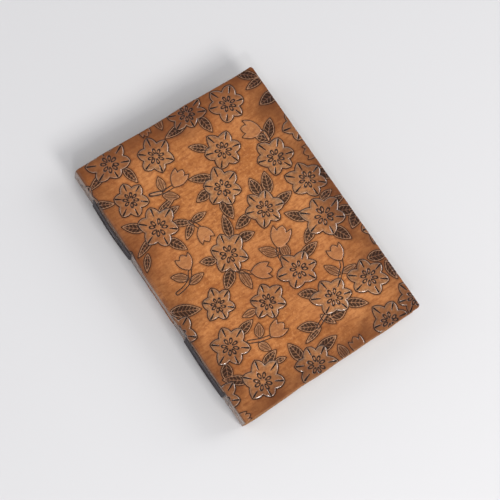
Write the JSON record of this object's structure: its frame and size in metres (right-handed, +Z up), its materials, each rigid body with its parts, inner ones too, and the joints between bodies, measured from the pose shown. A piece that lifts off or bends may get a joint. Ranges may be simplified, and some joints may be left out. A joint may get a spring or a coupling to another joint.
{
  "type": "leather journal",
  "caption": "Hand-bound journal: embossed leather wrap cover long-stitched to gatherings of hand-made paper; opens at the cover and in the middle.",
  "frame": {"origin": "bottom centre of the bounding box: on the table under the middle of the closed journal", "axes": "+X from the spine to the fore-edge, +Y to the head, +Z up out of the front cover"},
  "size_m": [0.128, 0.178, 0.0156],
  "materials": {
    "leather": "embossed, hand-dyed tan with darkened grooves and edges, waxed",
    "paper": "uncoated hand-made cotton paper with deckle edges",
    "cord": "waxed twisted cord"
  },
  "bodies": {
    "back_cover": {"back_cover": "leather"},
    "gathering_1": {"spine_strip_1": "leather", "sheet_1_1": "paper", "sheet_1_2": "paper", "sheet_1_3": "paper", "sheet_1_4": "paper", "sheet_1_5": "paper", "sheet_1_6": "paper", "thread_1": "cord"},
    "gathering_2": {"spine_strip_2": "leather", "sheet_2_1": "paper", "sheet_2_2": "paper", "sheet_2_3": "paper", "sheet_2_4": "paper", "sheet_2_5": "paper", "sheet_2_6": "paper", "thread_2": "cord"},
    "gathering_3": {"spine_strip_3": "leather", "sheet_3_1": "paper", "sheet_3_2": "paper", "sheet_3_3": "paper", "sheet_3_4": "paper", "sheet_3_5": "paper", "sheet_3_6": "paper", "thread_3": "cord"},
    "gathering_4": {"spine_strip_4": "leather", "sheet_4_1": "paper", "sheet_4_2": "paper", "sheet_4_3": "paper", "sheet_4_4": "paper", "sheet_4_5": "paper", "sheet_4_6": "paper", "thread_4": "cord"},
    "front_cover": {"front_cover": "leather"}
  },
  "joints": [
    {"name": "back_fold", "type": "hinge", "parent": "back_cover", "child": "gathering_1", "pos_m": [-0.0635, 0, 0], "axis": [0, 1, 0], "range_deg": [-8, 0]},
    {"name": "fold_12", "type": "hinge", "parent": "gathering_1", "child": "gathering_2", "pos_m": [-0.0635, 0, 0.0049], "axis": [0, 1, 0], "range_deg": [-22, 0]},
    {"name": "middle_fold", "type": "hinge", "parent": "gathering_2", "child": "gathering_3", "pos_m": [-0.0635, 0, 0.0078], "axis": [0, 1, 0], "range_deg": [-120, 0]},
    {"name": "fold_34", "type": "hinge", "parent": "gathering_3", "child": "gathering_4", "pos_m": [-0.0635, 0, 0.0107], "axis": [0, 1, 0], "range_deg": [-22, 0]},
    {"name": "front_cover_hinge", "type": "hinge", "parent": "gathering_4", "child": "front_cover", "pos_m": [-0.0635, 0, 0.0159], "axis": [0, -1, 0], "range_deg": [0, 178]}
  ],
  "couplings": [
    {"joint": "back_fold", "follows": "middle_fold", "ratio": 0.066},
    {"joint": "fold_12", "follows": "middle_fold", "ratio": 0.183},
    {"joint": "fold_34", "follows": "middle_fold", "ratio": 0.183}
  ]
}
